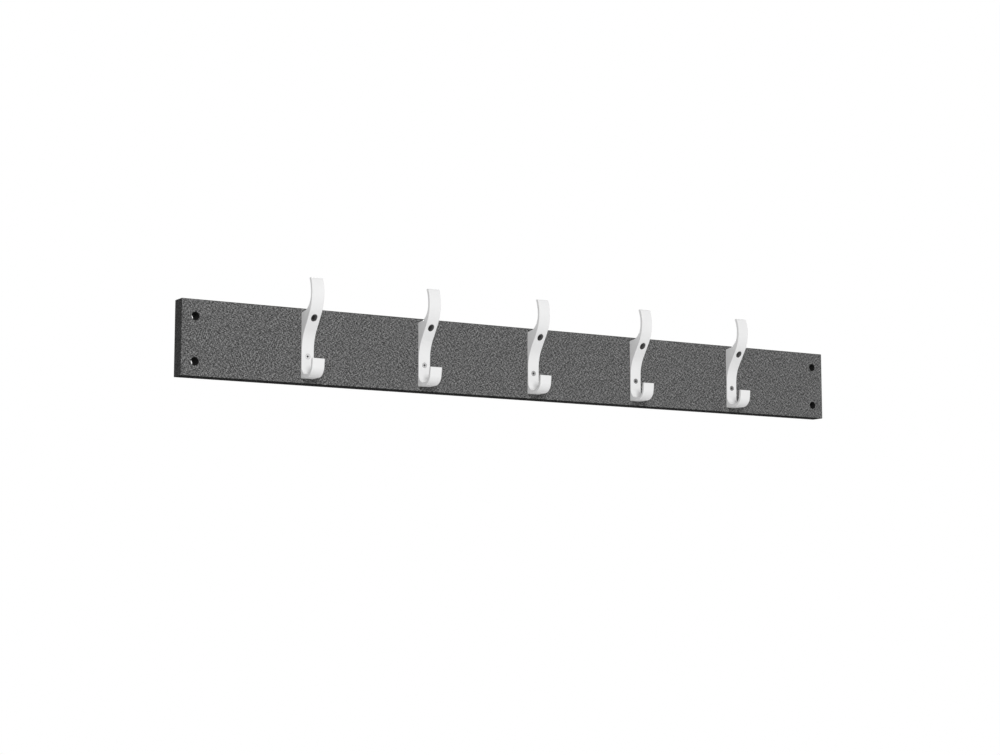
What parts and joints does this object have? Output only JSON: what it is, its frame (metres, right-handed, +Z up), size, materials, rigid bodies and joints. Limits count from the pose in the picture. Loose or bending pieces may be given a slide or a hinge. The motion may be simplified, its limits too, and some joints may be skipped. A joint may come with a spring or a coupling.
{
  "type": "coat hook board",
  "caption": "Wall-mounted board with a speckled dark laminate face and a row of white extruded double hooks, each with a curved coat prong above and a cupped hook below.",
  "frame": {"origin": "middle of the board's back face, which lies on the wall", "axes": "+X along the board, to the right seen from the room; +Y into the wall; +Z up"},
  "size_m": [0.903, 0.0494, 0.1177],
  "materials": {
    "board_laminate": "matte speckled laminate",
    "hook_coating": "white satin powder coat",
    "screw_steel": "zinc plated steel"
  },
  "bodies": {
    "root": {"board": "board_laminate", "hook_1": "hook_coating", "hook_2": "hook_coating", "hook_3": "hook_coating", "hook_4": "hook_coating", "hook_5": "hook_coating", "upper_hook_screws": "screw_steel", "lower_hook_screws": "screw_steel"}
  },
  "joints": []
}
